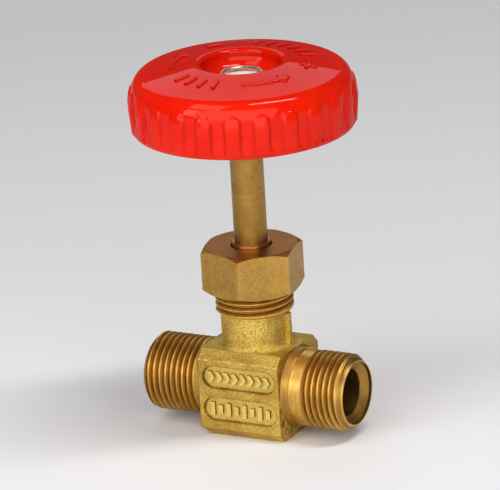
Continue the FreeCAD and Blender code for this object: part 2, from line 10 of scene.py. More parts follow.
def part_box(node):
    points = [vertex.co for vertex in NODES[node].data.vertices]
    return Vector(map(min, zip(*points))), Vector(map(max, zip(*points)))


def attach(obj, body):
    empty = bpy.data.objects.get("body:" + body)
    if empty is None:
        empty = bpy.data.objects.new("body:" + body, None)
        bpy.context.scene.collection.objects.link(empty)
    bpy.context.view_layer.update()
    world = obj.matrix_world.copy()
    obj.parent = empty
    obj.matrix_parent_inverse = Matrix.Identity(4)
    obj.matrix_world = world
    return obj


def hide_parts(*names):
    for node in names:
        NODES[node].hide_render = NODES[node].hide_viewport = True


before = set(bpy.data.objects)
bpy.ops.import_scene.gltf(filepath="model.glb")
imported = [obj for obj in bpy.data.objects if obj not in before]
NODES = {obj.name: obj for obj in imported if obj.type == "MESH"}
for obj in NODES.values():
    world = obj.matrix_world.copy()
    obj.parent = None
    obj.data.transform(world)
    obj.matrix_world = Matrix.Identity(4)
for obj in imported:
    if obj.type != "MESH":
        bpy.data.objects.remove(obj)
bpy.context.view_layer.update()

MM = 0.001
WHEEL_BODY = "stem_and_wheel"

# ---------------------------------------------------------------- sizes of the body, in millimetres

# THREAD_ROOT, GLAND_BORE and NUT_CORNER are the radii between which a finish fades.

BLOCK_END = 9.5
BLOCK_FRONT = -9.4
BLOCK_CHAMFER_TOP = 1.1
SLOPE_FOOT = 16.9
PANEL_X = 0.2
PANEL_LENGTH = 17.0
PANEL_FLOOR = BLOCK_FRONT + 0.6
UPPER_PANEL = (10.8, 15.65)
LOWER_PANEL = (3.7, 8.8)
MARK_TOP = PANEL_FLOOR - 0.42

PORT_Z = 9.9
PORT_SKIN_R = 7.0
BLOCK_FACE_FROM_R = 8.0
THREAD_ROOT = (7.35, 7.95)
LEFT_COLLAR_FROM = 9.9
LEFT_THREAD_FROM = 11.3
RIGHT_COLLAR_FROM = 10.9
SOCKET_R = 6.55
SOCKET_FLOOR = 20.4
SOCKET_STEP = 22.0
PORT_BORE_R = 4.9
NECK_THREAD_FROM = 26.5
GLAND_BORE = (6.3, 6.5)
GLAND_BORE_FROM = 19.5

NUT_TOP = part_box("gland_nut")[1][2] / MM
NUT_CORNER = (10.35, 10.9)

# ---------------------------------------------------------------- sizes of the handwheel, in millimetres

WHEEL_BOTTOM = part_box("handwheel")[0][2] / MM
HUB_HOLE_R = 3.6
HUB_R = 6.5
RECESS_FLOOR = WHEEL_BOTTOM + 9.9
BOWL_FLAT_R = 4.9
BOWL_R = 8.35
BOWL_RISE = 3.2
LIP_Z = WHEEL_BOTTOM + 13.1
LIP_RUN = 1.25
LIP_RISE = 1.06

CROWN_R = 20.28
CROWN_Z = WHEEL_BOTTOM + 7.8
CROWN_RISE = 4.44
SKIRT_R = 23.3
SKIRT_FOOT_R = 22.2
DOME_END_ANGLE = math.radians(86)
DOME_INNER = (BOWL_R + LIP_RUN, LIP_Z + LIP_RISE)
DOME_MID = (18.0, WHEEL_BOTTOM + 12.7)
DOME_EDGE = (
    CROWN_R + (SKIRT_R - CROWN_R) * math.cos(DOME_END_ANGLE),
    CROWN_Z + CROWN_RISE * math.sin(DOME_END_ANGLE),
)

RIB_COUNT = 24
RIB_STEPS = 26
RIB_PITCH = 2 * math.pi / RIB_COUNT
RIB_R = 24.05
RIB_WIDTH = 3.3
RIB_LOW = WHEEL_BOTTOM + 0.9
RIB_TOP = WHEEL_BOTTOM + 9.3
RIB_CORNER = 1.3
RIB_SHOULDER_Z = WHEEL_BOTTOM + 5.74
RIB_SHOULDER_RISE = 6.5
RIB_FOOT_TAPER = 0.45
RIB_FLANK_FROM = 0.22
RIB_FLANK = 0.46
RIB_ROUNDING = 0.14

# The marks on the dome. Angles and sweeps are in degrees, and the head is a share of an arrow's length.
MARK_R = 14.4
MARK_HEIGHT = 0.33
BAR_END = 0.72
SIGN_REACH = 1.9
SIGN_HALF_WIDTH = 0.45
PLUS_ANGLE = 14
MINUS_ANGLE = 140
INDEX_REACH = 1.7
INDEX_HALF_WIDTH = 0.5
INDEX_ANGLES = (*range(-84, -121, -12), *range(44, 105, 12))
OPEN_ARROW = (-62, 44)
CLOSE_ARROW = (212, -44)
ARROW_HEAD = 0.2
ARROW_HEAD_HALF_WIDTH = 1.7
ARROW_TIP_HALF_WIDTH = 0.1
ARROW_SHAFT_HALF_WIDTH = 0.62
ARROW_TAIL_HALF_WIDTH = 0.45


# ---------------------------------------------------------------- shader building


class Shader:
    """A node material with one Principled BSDF, built by short calls on object coordinates."""

    def __init__(self, name, **inputs):
        self.material = bpy.data.materials.new(name)
        self.material.use_nodes = True
        self.tree = self.material.node_tree
        self.bsdf = self.tree.nodes["Principled BSDF"]
        for key, value in inputs.items():
            self.bsdf.inputs[key.replace("_", " ")].default_value = value
        self.coords = self.tree.nodes.new("ShaderNodeTexCoord").outputs["Object"]

    def link(self, value, socket):
        if isinstance(value, (int, float, tuple, list)):
            socket.default_value = value
        else:
            self.tree.links.new(value, socket)

    def set(self, name, value):
        self.link(value, self.bsdf.inputs[name])

    def math(self, operation, a, b=0.0, clamp=False):
        node = self.tree.nodes.new("ShaderNodeMath")
        node.operation = operation
        node.use_clamp = clamp
        self.link(a, node.inputs[0])
        self.link(b, node.inputs[1])
        return node.outputs[0]

    def times(self, *factors):
        product = factors[0]
        for factor in factors[1:]:
            product = self.math("MULTIPLY", product, factor)
        return product

    def distance(self, value, place):
        return self.math("ABSOLUTE", self.math("SUBTRACT", value, place))

    def length(self, a, b):
        return self.math("SQRT", self.math("ADD", self.math("POWER", a, 2.0), self.math("POWER", b, 2.0)))

    def axes(self):
        """The surface point's x, y and z in millimetres."""
        node = self.tree.nodes.new("ShaderNodeSeparateXYZ")
        self.link(self.coords, node.inputs[0])
        return [self.math("DIVIDE", out, MM) for out in node.outputs]

    def noise(self, scale, detail=3.0, roughness=0.55, stretch=None, distortion=0.0):
        node = self.tree.nodes.new("ShaderNodeTexNoise")
        node.inputs["Scale"].default_value = scale
        node.inputs["Detail"].default_value = detail
        node.inputs["Roughness"].default_value = roughness
        node.inputs["Distortion"].default_value = distortion
        self.link(self.stretched(stretch), node.inputs["Vector"])
        return node.outputs["Fac"]

    def stretched(self, stretch):
        if stretch is None:
            return self.coords
        node = self.tree.nodes.new("ShaderNodeMapping")
        node.inputs["Scale"].default_value = stretch
        self.link(self.coords, node.inputs["Vector"])
        return node.outputs["Vector"]

    def range(self, value, low, high, to_low=0.0, to_high=1.0, smooth=True):
        node = self.tree.nodes.new("ShaderNodeMapRange")
        node.interpolation_type = "SMOOTHSTEP" if smooth else "LINEAR"
        self.link(value, node.inputs["Value"])
        node.inputs["From Min"].default_value = low
        node.inputs["From Max"].default_value = high
        node.inputs["To Min"].default_value = to_low
        node.inputs["To Max"].default_value = to_high
        return node.outputs["Result"]

    def below(self, value, low, high):
        """1 up to low, fading to 0 at high."""
        return self.range(value, low, high, 1.0, 0.0)

    def band(self, value, rise_from, rise_to, fall_from, fall_to):
        """1 between rise_to and fall_from, fading to 0 on both sides."""
        return self.times(self.range(value, rise_from, rise_to), self.below(value, fall_from, fall_to))

    def mix(self, factor, a, b):
        """Colour mix. The node keeps its two colours at sockets 6 and 7."""
        node = self.tree.nodes.new("ShaderNodeMix")
        node.data_type = "RGBA"
        self.link(factor, node.inputs[0])
        self.link(a, node.inputs[6])
        self.link(b, node.inputs[7])
        return node.outputs[2]

    def mix_value(self, factor, a, b):
        """Number mix. The node keeps its two numbers at sockets 2 and 3."""
        node = self.tree.nodes.new("ShaderNodeMix")
        node.data_type = "FLOAT"
        self.link(factor, node.inputs[0])
        self.link(a, node.inputs[2])
        self.link(b, node.inputs[3])
        return node.outputs[0]

    def tint(self, colour, mask, amount, towards):
        """The colour, moved by amount towards another where the mask is 1."""
        return self.mix(self.times(mask, amount), colour, towards)

    def bump(self, height, distance_mm):
        node = self.tree.nodes.new("ShaderNodeBump")
        node.inputs["Strength"].default_value = 1.0
        node.inputs["Distance"].default_value = distance_mm * MM
        self.link(height, node.inputs["Height"])
        self.tree.links.new(node.outputs["Normal"], self.bsdf.inputs["Normal"])


def rgb(r, g, b):
    """Linear colour from 0-255 display values."""
    linear = []
    for c in (r, g, b):
        c = c / 255
        linear.append(c / 12.92 if c <= 0.04045 else ((c + 0.055) / 1.055) ** 2.4)
    return (*linear, 1.0)


# ---------------------------------------------------------------- materials

FORGED_DULL = rgb(196, 160, 72)
FORGED_BRIGHT = rgb(234, 205, 104)


def panel_distance(s, x, z, low, high):
    """Distance outside a sunk panel's rounded outline on the front face, negative inside it."""
    radius = (high - low) / 2
    reach = PANEL_LENGTH / 2 - radius
    beyond = s.math("MAXIMUM", s.math("SUBTRACT", s.distance(x, PANEL_X), reach), 0.0)
    return s.math("SUBTRACT", s.length(beyond, s.math("SUBTRACT", z, (low + high) / 2)), radius)


def forged_colour(s, x, y, z):
    """Blasted yellow forging: browner front face, clean sunk panels, painted highlight on the marks' faces
    and painted shade on their sides and round the panels' outlines.
    """
    cloud = s.noise(140, 4.0)
    grain = s.noise(3000, 3.0, 0.6)
    blotch = s.noise(520, 4.0, 0.6)
    colour = s.mix(s.range(cloud, 0.3, 0.7), FORGED_DULL, FORGED_BRIGHT)
    colour = s.mix(s.range(grain, 0.36, 0.6, 0.6, 0.0), colour, rgb(128, 94, 34))
    colour = s.mix(s.range(s.noise(4600, 2.0, 0.5), 0.62, 0.74, 0.0, 0.4), colour, rgb(255, 240, 166))

    upper = panel_distance(s, x, z, *UPPER_PANEL)
    lower = panel_distance(s, x, z, *LOWER_PANEL)
    outline = s.math("MINIMUM", upper, lower)
    front = s.times(
        s.below(y, PANEL_FLOOR + 0.2, PANEL_FLOOR + 0.4),
        s.range(z, BLOCK_CHAMFER_TOP - 0.2, BLOCK_CHAMFER_TOP + 0.2),
    )
    stained = s.times(s.range(outline, 0.0, 0.15), front, s.range(blotch, 0.3, 0.65, 0.55, 0.15))
    colour = s.mix(stained, colour, rgb(176, 128, 58))
    inside = s.times(s.below(outline, -0.35, -0.15), front)
    colour = s.tint(colour, inside, 0.6, rgb(218, 190, 98))
    # Painted highlight: the marks' raised faces are lightened.
    mark_top_highlight = s.times(s.below(y, MARK_TOP - 0.04, MARK_TOP), inside)
    colour = s.tint(colour, mark_top_highlight, 0.3, rgb(252, 232, 150))

    # Painted shade: the marks' sides and a blotchy line round the panels' outlines are darkened.
    mark_wall_shade = s.times(s.band(y, MARK_TOP, MARK_TOP + 0.06, PANEL_FLOOR - 0.04, PANEL_FLOOR - 0.01), inside)
    outline_shade = s.times(s.below(s.math("ABSOLUTE", outline), 0.08, 0.3), front)
    outline_shade = s.times(outline_shade, s.range(blotch, 0.25, 0.5, 0.95, 0.5))
    colour = s.tint(colour, s.math("MAXIMUM", mark_wall_shade, outline_shade, clamp=True), 0.85, rgb(104, 70, 24))

    worn_edge = s.times(
        s.below(s.distance(z, SLOPE_FOOT), 0.05, 0.28),
        s.below(y, BLOCK_FRONT + 0.2, BLOCK_FRONT + 0.4),
        s.range(s.noise(1300, 3.0, 0.6), 0.5, 0.62, 0.0, 0.45),
    )
    colour = s.mix(worn_edge, colour, rgb(255, 242, 176))
    return colour, cloud, grain


def machined_colour(s, x, z, port_r, neck_r, tarnish):
    """Browner turned brass, with painted shade in the thread roots, at the sockets' rims, on the block's
    right end face, in the cove, the sockets and the bores.
    """
    along = s.math("ABSOLUTE", x)
    streak = s.noise(420, 3.0, 0.6, (6.0, 1.0, 1.0))
    colour = s.mix(s.range(streak, 0.3, 0.7), rgb(196, 151, 70), rgb(221, 180, 94))
    colour = s.mix(s.range(tarnish, 0.45, 0.75, 0.0, 0.4), colour, rgb(168, 116, 48))

    # Painted shade darkens the roots of the port and neck threads.
    port_root_shade = s.times(
        s.below(port_r, *THREAD_ROOT),
        s.range(along, RIGHT_COLLAR_FROM, RIGHT_COLLAR_FROM + 0.3),
        s.range(port_r, PORT_SKIN_R, PORT_SKIN_R + 0.1),
    )
    colour = s.tint(colour, port_root_shade, 0.62, rgb(112, 68, 24))
    neck_root_shade = s.times(s.below(neck_r, *THREAD_ROOT), s.range(z, NECK_THREAD_FROM, NECK_THREAD_FROM + 0.3))
    colour = s.tint(colour, neck_root_shade, 0.6, rgb(112, 62, 22))

    # Painted shade: a dark ring where the socket steps down.
    socket_rim_shade = s.times(
        s.band(port_r, SOCKET_R - 0.15, SOCKET_R - 0.05, SOCKET_R + 0.07, SOCKET_R + 0.17),
        s.range(along, SOCKET_STEP - 0.1, SOCKET_STEP + 0.1),
    )
    colour = s.tint(colour, socket_rim_shade, 0.7, rgb(70, 40, 16))
    # Painted shade darkens the block's right end face round the port.
    block_face_shade = s.times(
        s.band(x, BLOCK_END - 0.2, BLOCK_END - 0.05, BLOCK_END + 0.1, BLOCK_END + 0.25),
        s.range(port_r, BLOCK_FACE_FROM_R, BLOCK_FACE_FROM_R + 0.3),
    )
    colour = s.tint(colour, block_face_shade, 0.5, rgb(136, 92, 36))
    # Painted shade darkens the cove between the block's end and the right collar.
    cove = s.band(x, BLOCK_END + 0.1, BLOCK_END + 0.25, RIGHT_COLLAR_FROM - 0.1, RIGHT_COLLAR_FROM + 0.05)
    colour = s.tint(colour, cove, 0.66, rgb(136, 92, 40))
    # Painted shade darkens the sockets inside the ports.
    socket = s.times(
        s.range(along, SOCKET_FLOOR, SOCKET_FLOOR + 0.5),
        s.below(port_r, SOCKET_R - 0.05, SOCKET_R + 0.05),
    )
    colour = s.tint(colour, socket, 0.55, rgb(120, 84, 40))
    # Painted shade darkens the bores.
    bore_shade = s.times(
        s.below(port_r, PORT_BORE_R + 0.1, PORT_BORE_R + 0.2),
        s.range(along, BLOCK_END - 0.5, BLOCK_END + 0.5),
    )
    return s.tint(colour, bore_shade, 0.62, rgb(74, 52, 28))


def forged_brass():
    """Blasted yellow forging whose ports, neck thread and bores are machined to a browner brass."""
    s = Shader("valve_body_brass", Metallic=1.0)
    x, y, z = s.axes()
    port_r = s.length(y, s.math("SUBTRACT", z, PORT_Z))
    neck_r = s.length(x, y)
    wander = s.range(s.noise(900, 2.0), 0.3, 0.7, -0.1, 0.1)
    wandering_x = s.math("ADD", x, wander)
    wandering_z = s.math("ADD", z, wander)
    on_right = s.range(wandering_x, BLOCK_END - 0.04, BLOCK_END + 0.06)
    on_left = s.below(wandering_x, -LEFT_THREAD_FROM, -LEFT_THREAD_FROM + 0.1)
    on_neck = s.range(wandering_z, NECK_THREAD_FROM - 0.5, NECK_THREAD_FROM - 0.3)
    in_gland = s.times(s.below(neck_r, *GLAND_BORE), s.range(z, GLAND_BORE_FROM, GLAND_BORE_FROM + 1.0))
    outside = s.math("MAXIMUM", s.math("MAXIMUM", on_right, on_left), on_neck)
    machined = s.math("MAXIMUM", outside, in_gland, clamp=True)

    tarnish = s.noise(260, 4.0, 0.6)
    forged, cloud, grain = forged_colour(s, x, y, z)
    left_collar = s.times(
        s.below(x, -LEFT_COLLAR_FROM, -LEFT_COLLAR_FROM + 0.3),
        s.range(port_r, PORT_SKIN_R, PORT_SKIN_R + 0.6),
    )
    forged = s.tint(forged, left_collar, 0.5, rgb(134, 98, 40))
    turned = machined_colour(s, x, z, port_r, neck_r, tarnish)

    s.set("Base Color", s.mix(machined, forged, turned))
    rough_forged = s.range(cloud, 0.2, 0.8, 0.52, 0.64)
    rough_turned = s.range(tarnish, 0.3, 0.7, 0.36, 0.5)
    s.set("Roughness", s.mix_value(machined, rough_forged, rough_turned))
    pitted = s.math("ADD", s.times(grain, 0.6), s.times(s.noise(1100, 2.0), 0.6))
    tool_lines = s.times(s.noise(160, 2.0, 0.5, (45.0, 1.0, 1.0)), 0.12)
    s.bump(s.mix_value(machined, pitted, tool_lines), 0.16)
    return s.material


def turned_brass(name, light, dark, tint, stretch, rough=(0.24, 0.4)):
    """Lathe-turned bar brass with fine tool lines, soft stains and dull patches."""
    s = Shader(name, Metallic=1.0)
    cloud = s.noise(130, 4.0, 0.6)
    lines = s.noise(150, 3.0, 0.6, stretch)
    stain = s.noise(300, 5.0, 0.65, None, 0.6)
    colour = s.mix(s.range(cloud, 0.3, 0.7), light, dark)
    colour = s.mix(s.range(lines, 0.35, 0.7, 0.0, 0.45), colour, dark)
    colour = s.mix(s.range(stain, 0.55, 0.75, 0.0, 0.55), colour, tint)
    s.set("Base Color", colour)
    dull = s.math("ADD", cloud, s.times(stain, 0.5))
    s.set("Roughness", s.range(dull, 0.4, 1.1, *rough))
    s.bump(s.math("ADD", s.times(lines, 0.6), s.times(s.noise(2400, 2.0), 0.25)), 0.03)
    return s.material


def gland_brass():
    """Hexagon bar brass: bright worn corners, brown tarnish on the flats and painted shade that makes the
    top face darker and redder.
    """
    s = Shader("gland_nut_brass", Metallic=1.0)
    x, y, z = s.axes()
    cloud = s.noise(110, 4.0, 0.6)
    lines = s.noise(170, 3.0, 0.6, (1.0, 1.0, 14.0))
    stain = s.noise(260, 5.0, 0.65, None, 0.7)
    grain = s.noise(2600, 3.0, 0.6)
    colour = s.mix(s.range(cloud, 0.3, 0.7), rgb(202, 158, 80), rgb(174, 134, 66))
    colour = s.mix(s.range(stain, 0.55, 0.75, 0.0, 0.4), colour, rgb(132, 92, 44))
    colour = s.mix(s.range(grain, 0.35, 0.6, 0.35, 0.0), colour, rgb(110, 78, 34))
    worn = s.times(s.range(s.length(x, y), *NUT_CORNER), s.range(stain, 0.3, 0.6, 1.0, 0.4))
    colour = s.tint(colour, worn, 0.5, rgb(212, 166, 92))
    # Painted shade: the top face is darker and redder than the flats.
    colour = s.tint(colour, s.range(z, NUT_TOP - 0.25, NUT_TOP - 0.05), 0.8, rgb(158, 100, 42))
    s.set("Base Color", colour)
    dull = s.math("ADD", cloud, s.times(stain, 0.5))
    s.set("Roughness", s.range(dull, 0.4, 1.1, 0.36, 0.52))
    s.bump(s.math("ADD", s.times(lines, 0.5), s.times(grain, 0.6)), 0.035)
    return s.material


def red_enamel():
    """Thick gloss paint over a die casting, darker on the dome and at the ribs' feet from painted shade,
    with slight orange peel and chips to dark metal near the skirt's foot."""
    s = Shader("handwheel_enamel", Specular_IOR_Level=0.0)
    s.set("Coat Weight", 0.42)
    s.set("Coat Roughness", 0.04)
    s.set("Coat IOR", 1.45)
    x, y, z = s.axes()
    cloud = s.noise(90, 3.0)
    fine = s.noise(700, 3.0)
    colour = s.mix(s.range(cloud, 0.3, 0.7), rgb(212, 21, 1), rgb(219, 29, 2))
    colour = s.tint(colour, s.range(fine, 0.45, 0.75), 0.25, rgb(194, 15, 1))
    # Painted shade darkens the upper dome.
    colour = s.tint(colour, s.range(z, DOME_MID[1] - 2.0, DOME_MID[1] + 1.0), 0.6, rgb(186, 14, 1))

    turn = s.math("FRACT", s.math("DIVIDE", s.math("ARCTAN2", y, x), RIB_PITCH))
    across = s.times(s.distance(turn, 0.5), RIB_PITCH * RIB_R)
    # Painted shade: dark lines along the sides of the ribs.
    rib_foot_shade = s.times(
        s.below(s.distance(across, RIB_WIDTH / 2 + 0.1), 0.1, 0.6),
        s.band(z, RIB_LOW - 0.3, RIB_LOW + 0.6, RIB_TOP - 1.2, RIB_TOP),
        s.range(s.length(x, y), SKIRT_R - 0.4, SKIRT_R - 0.2),
    )
    colour = s.tint(colour, rib_foot_shade, 0.32, rgb(150, 8, 1))

    foot = s.band(z, WHEEL_BOTTOM + 0.8, WHEEL_BOTTOM + 1.2, WHEEL_BOTTOM + 1.5, WHEEL_BOTTOM + 2.1)
    foot_chips = s.times(s.range(s.noise(1500, 4.0, 0.6), 0.60, 0.63), foot)
    stray_chips = s.range(s.noise(1250, 2.0, 0.5), 0.765, 0.775)
    chip = s.math("MAXIMUM", foot_chips, stray_chips, clamp=True)
    s.set("Base Color", s.mix(chip, colour, rgb(70, 14, 8)))
    s.set("Roughness", s.mix_value(chip, s.range(fine, 0.2, 0.8, 0.3, 0.38), 0.6))
    s.bump(s.math("ADD", s.times(s.noise(420, 2.0, 0.4), 0.7), s.times(chip, -1.5)), 0.02)
    return s.material


def zinc(name, light, dark):
    """Bright zinc-plated steel with a faint yellow-grey bloom and fine wear."""
    s = Shader(name, Metallic=1.0)
    cloud = s.noise(500, 4.0, 0.6)
    fine = s.noise(2600, 3.0, 0.6)
    colour = s.mix(s.range(cloud, 0.3, 0.7), light, dark)
    colour = s.mix(s.range(fine, 0.55, 0.75, 0.0, 0.4), colour, rgb(120, 112, 92))
    s.set("Base Color", colour)
    s.set("Roughness", s.range(fine, 0.3, 0.7, 0.22, 0.36))
    s.bump(fine, 0.01)
    return s.material


def stainless():
    """Ground stainless steel with fine lines round it."""
    s = Shader("needle_stainless", Metallic=1.0)
    lines = s.noise(200, 3.0, 0.6, (1.0, 1.0, 30.0))
    cloud = s.noise(400, 3.0)
    s.set("Base Color", s.mix(s.range(lines, 0.3, 0.7), rgb(196, 196, 198), rgb(164, 165, 168)))
    s.set("Roughness", s.range(cloud, 0.3, 0.7, 0.16, 0.28))
    s.bump(lines, 0.01)
    return s.material


def soft_material(name, light, dark, cloud_scale, grain_scale, rough, **inputs):
    """Clouded packing or rubber with a fine grain."""
    s = Shader(name, **inputs)
    cloud = s.noise(cloud_scale, 4.0)
    s.set("Base Color", s.mix(s.range(cloud, 0.3, 0.7), light, dark))
    s.set("Roughness", s.range(cloud, 0.3, 0.7, *rough))
    s.bump(s.noise(grain_scale, 3.0), 0.012)
    return s.material


def pale_floor(forward):
    """Pale sweep with painted light falloff: lightest in front of the valve, a little greyer further back.
    """
    s = Shader("floor_pale", Roughness=0.85, Specular_IOR_Level=0.1)
    x, y, _ = s.axes()
    back = s.math("ADD", s.times(x, forward[0]), s.times(y, forward[1]))
    s.set("Base Color", s.mix(s.range(back, *FLOOR_FADE, smooth=False), FLOOR_LIGHT, FLOOR_GREY))
    return s.material


# ---------------------------------------------------------------- mesh building


def mesh_object(name, points_mm, faces, material, smooth=True):
    """Object with one material from points in millimetres and faces of point numbers."""
    mesh = bpy.data.meshes.new(name)
    mesh.from_pydata([tuple(c * MM for c in p) for p in points_mm], [], faces)
    mesh.validate()
    mesh.update()
    if smooth:
        mesh.polygons.foreach_set("use_smooth", [True] * len(mesh.polygons))
    obj = bpy.data.objects.new(name, mesh)
    bpy.context.scene.collection.objects.link(obj)
    obj.data.materials.append(material)
    return obj


def arc_points(r, z, run, rise, start, end, count):
    """Quarter-ellipse points about (r, z), between two angles in degrees up from the outward direction."""
    points = []
    for degrees in np.linspace(start, end, count):
        angle = math.radians(degrees)
        points.append(Vector((r + run * math.cos(angle), z + rise * math.sin(angle))))
    return points


def rounded_path(corners, per_arc, spacing):
    """Profile through (r, z, radius) corners, each rounded by its radius, with points along straights."""
    path = []
    last = len(corners) - 1
    for i, (r, z, radius) in enumerate(corners):
        here = Vector((r, z))
        if i in (0, last):
            path.append(here)
            continue
        before = (Vector(corners[i - 1][:2]) - here).normalized()
        after = (Vector(corners[i + 1][:2]) - here).normalized()
        reach = radius / math.tan(before.angle(after) / 2)
        start = here + before * reach
        end = here + after * reach
        for k in range(per_arc + 1):
            t = k / per_arc
            path.append(start * (1 - t) ** 2 + here * 2 * t * (1 - t) + end * t ** 2)
    dense = [path[0]]
    for a, b in zip(path, path[1:]):
        steps = max(1, int((b - a).length / spacing))
        for k in range(1, steps + 1):
            dense.append(a.lerp(b, k / steps))
    return dense


def dome_height(r):
    """Height of the wheel's top at a radius between the recess lip and the crown."""
    (r0, z0), (r1, z1), (r2, z2) = DOME_INNER, DOME_MID, DOME_EDGE
    a = z0 * (r - r1) * (r - r2) / ((r0 - r1) * (r0 - r2))
    b = z1 * (r - r0) * (r - r2) / ((r1 - r0) * (r1 - r2))
    c = z2 * (r - r0) * (r - r1) / ((r2 - r0) * (r2 - r1))
    return a + b + c


def outer_profile():
    """(r, z) points from the hub's hole over the recess, dome and crown to the foot of the skirt."""
    flat = [Vector((HUB_HOLE_R + 0.3 * k, RECESS_FLOOR)) for k in range(4)]
    bowl = arc_points(BOWL_FLAT_R, RECESS_FLOOR + BOWL_RISE, BOWL_R - BOWL_FLAT_R, BOWL_RISE, -90, 0, 18)
    lip = arc_points(BOWL_R + LIP_RUN, LIP_Z, LIP_RUN, LIP_RISE, 170, 90, 10)
    dome = [Vector((r, dome_height(r))) for r in np.linspace(DOME_INNER[0], DOME_EDGE[0], 16)]
    crown = arc_points(CROWN_R, CROWN_Z, SKIRT_R - CROWN_R, CROWN_RISE, 84, 0, 34)
    bottom = WHEEL_BOTTOM
    skirt = rounded_path([
        (SKIRT_R, CROWN_Z, 0), (23.1, bottom + 4.3, 3.0), (23.5, bottom + 0.9, 0.5), (23.0, bottom, 0.5),
        (SKIRT_FOOT_R, bottom, 0),
    ], 4, 0.3)
    return flat + bowl + lip[:-1] + dome + crown + skirt[1:-1]


def hollow_profile():
    """(r, z) points from the foot of the skirt through the hollow and round the hub to its hole."""
    bottom = WHEEL_BOTTOM
    return rounded_path([
        (SKIRT_FOOT_R, bottom, 0), (21.0, bottom, 0.6), (20.8, bottom + 9.2, 1.8),
        (17.8, bottom + 10.3, 2.0), (11.4, bottom + 11.3, 2.0),
        (HUB_R + 0.4, bottom + 7.2, 1.0), (HUB_R, bottom + 6.0, 1.0), (HUB_R, bottom + 2.0, 0.5),
        (HUB_HOLE_R, bottom + 2.0, 0.3), (HUB_HOLE_R, RECESS_FLOOR, 0),
    ], 3, 4.0)[:-1]


def rib_lift(r, z, theta):
    """How far a point of the outer skin stands out where a round-topped grip rib crosses its angle."""
    if r < CROWN_R or z < RIB_LOW - 0.4 or z > RIB_TOP + 0.5:
        return 0.0
    if z > RIB_SHOULDER_Z:
        rise = min(1.0, (z - RIB_SHOULDER_Z) / RIB_SHOULDER_RISE)
        face_r = CROWN_R + (RIB_R - CROWN_R) * math.sqrt(1 - rise * rise)
    else:
        face_r = RIB_R - RIB_FOOT_TAPER * (RIB_SHOULDER_Z - z) / (RIB_SHOULDER_Z - RIB_LOW)
    across = abs(theta % RIB_PITCH - RIB_PITCH / 2) * RIB_R
    half = RIB_WIDTH / 2
    dx = across - (half - RIB_CORNER)
    dz = max(z - (RIB_TOP - RIB_CORNER), RIB_LOW + 0.3 - z)
    if dx > 0 and dz > 0:
        outside = math.hypot(dx, dz) - RIB_CORNER
    else:
        outside = max(dx, dz) - RIB_CORNER
    t = min(1.0, max(0.0, (RIB_FLANK_FROM - outside) / RIB_FLANK))
    rounding = RIB_ROUNDING * (across / half) ** 2
    return max(0.0, face_r - rounding - r) * t * t * (3 - 2 * t)


def handwheel(material):
    """The wheel's casting as one closed ring of profiles, with the ribs raised on its outer skin."""
    outer = outer_profile()
    profile = outer + hollow_profile()
    around = RIB_COUNT * RIB_STEPS
    rows = len(profile)
    points = []
    faces = []
    for k in range(around):
        theta = 2 * math.pi * k / around
        for i, (r, z) in enumerate(profile):
            if i < len(outer):
                r += rib_lift(r, z, theta)
            points.append((r * math.cos(theta), r * math.sin(theta), z))
    for k in range(around):
        here = k * rows
        ahead = (k + 1) % around * rows
        for i in range(rows):
            j = (i + 1) % rows
            faces.append((here + i, here + j, ahead + j, ahead + i))
    return mesh_object("handwheel_casting", points, faces, material)


def relief(name, path, half_widths, material):
    """Soft-edged raised mark following a path of (x, y) points on the wheel's domed top."""
    half_section = ((0.62, 1.0), (0.86, 0.82), (1.0, 0.4), (1.0, -0.3))
    section = [(-across, up) for across, up in reversed(half_section)] + list(half_section)
    last = len(path) - 1
    points = []
    for i, (place, half) in enumerate(zip(path, half_widths)):
        ahead = Vector(path[min(i + 1, last)]) - Vector(path[max(i - 1, 0)])
        side = Vector((-ahead.y, ahead.x)).normalized()
        for across, up in section:
            q = Vector(place) + side * across * half
            points.append((q.x, q.y, dome_height(q.length) + up * MARK_HEIGHT))
    width = len(section)
    faces = []
    for i in range(last):
        for j in range(width):
            n = (j + 1) % width
            faces.append((i * width + j, i * width + n, (i + 1) * width + n, (i + 1) * width + j))
    faces.append(tuple(range(width)))
    faces.append(tuple(reversed(range(last * width, len(path) * width))))
    return mesh_object(name, points, faces, material)


def arc_path(radius, start, sweep, steps):
    """(x, y) points on a circle about the wheel's axis, from start over sweep degrees."""
    angles = [math.radians(start + sweep * k / steps) for k in range(steps + 1)]
    return [(radius * math.cos(a), radius * math.sin(a)) for a in angles]


def bar(name, path, half_width, material):
    """Mark of even width, drawn in a little at both ends."""
    half_widths = [half_width] * len(path)
    half_widths[0] = half_widths[-1] = half_width * BAR_END
    return relief(name, path, half_widths, material)


def radial_bar(name, angle, reach, half_width, material):
    """Bar along a radius, reaching to both sides of the marks' circle."""
    a = math.radians(angle)
    radii = np.linspace(MARK_R - reach, MARK_R + reach, 8)
    return bar(name, [(r * math.cos(a), r * math.sin(a)) for r in radii], half_width, material)


def cross_bar(name, angle, reach, half_width, material):
    """Bar along the marks' circle, reaching to both sides of an angle."""
    half_turn = math.degrees(reach / MARK_R)
    return bar(name, arc_path(MARK_R, angle - half_turn, 2 * half_turn, 8), half_width, material)


def turning_arrow(name, start, sweep, material):
    """Curved arrow on the marks' circle, with its head at the end of the sweep."""
    path = arc_path(MARK_R, start, sweep, 40)
    half_widths = []
    for k in range(len(path)):
        t = k / (len(path) - 1)
        head = ARROW_HEAD_HALF_WIDTH * (1 - t) / ARROW_HEAD + ARROW_TIP_HALF_WIDTH
        half_widths.append(ARROW_SHAFT_HALF_WIDTH if t < 1 - ARROW_HEAD else head)
    half_widths[0] = ARROW_TAIL_HALF_WIDTH
    return relief(name, path, half_widths, material)


